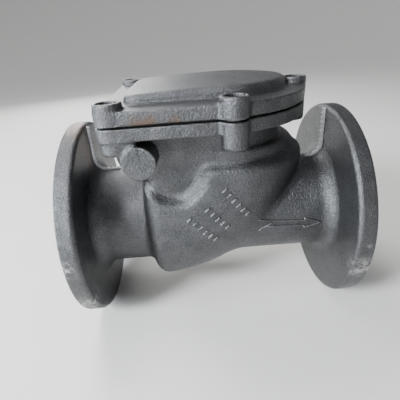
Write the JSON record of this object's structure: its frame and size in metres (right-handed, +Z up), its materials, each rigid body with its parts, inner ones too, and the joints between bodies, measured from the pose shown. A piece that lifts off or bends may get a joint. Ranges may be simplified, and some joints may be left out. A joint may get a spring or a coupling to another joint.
{
  "type": "swing check valve",
  "caption": "Flanged swing check valve: cast body with bolted cover, hinged flap that opens with forward flow and closes against a seat.",
  "frame": {"origin": "centre of the box's base, under the valve's middle", "axes": "+X along the pipe in the direction of flow, +Y across the pipe, +Z up through the cover"},
  "size_m": [0.3, 0.224, 0.2631],
  "materials": {
    "cast_iron": "shot-blasted raw casting, fine grain, light rust in places",
    "inner_iron": "raw casting, machined where it seats",
    "black_screw": "black oxide, satin",
    "brass": "machined",
    "steel": "turned, satin",
    "rubber": "moulded, matt",
    "gasket_fibre": "compressed fibre sheet, matt"
  },
  "bodies": {
    "casing": {"body": "cast_iron", "bonnet": "cast_iron", "bonnet_gasket": "gasket_fibre", "bonnet_screw_1": "black_screw", "bonnet_screw_2": "black_screw", "bonnet_screw_3": "black_screw", "bonnet_screw_4": "black_screw", "bonnet_screw_5": "black_screw", "bonnet_washer_1": "steel", "bonnet_washer_2": "steel", "bonnet_washer_3": "steel", "bonnet_washer_4": "steel", "bonnet_washer_5": "steel", "seat_ring": "brass", "hinge_bush_front": "brass", "hinge_bush_rear": "brass", "hinge_plug": "steel", "hinge_plug_washer": "brass"},
    "arm": {"hinge_arm": "inner_iron", "hinge_pin": "steel", "arm_spacer_front": "steel", "arm_spacer_rear": "steel", "arm_set_screw": "black_screw", "disc_pin": "steel", "disc_pin_washer": "steel", "disc_pin_cotter": "steel"},
    "disc": {"flap_disc": "inner_iron", "disc_seal": "rubber", "seal_retainer": "steel", "retainer_screw_1": "steel", "retainer_screw_2": "steel", "retainer_screw_3": "steel", "retainer_screw_4": "steel"}
  },
  "joints": [
    {"name": "flap_swing", "type": "hinge", "parent": "casing", "child": "arm", "pos_m": [-0.066, 0, 0.2046], "axis": [0, -1, 0], "range_deg": [0, 62]},
    {"name": "disc_tilt", "type": "hinge", "parent": "arm", "child": "disc", "pos_m": [-0.029, 0, 0.1116], "axis": [0, -1, 0], "range_deg": [0, 3.8]}
  ],
  "couplings": [
    {"joint": "disc_tilt", "follows": "flap_swing", "ratio": 0.06}
  ]
}
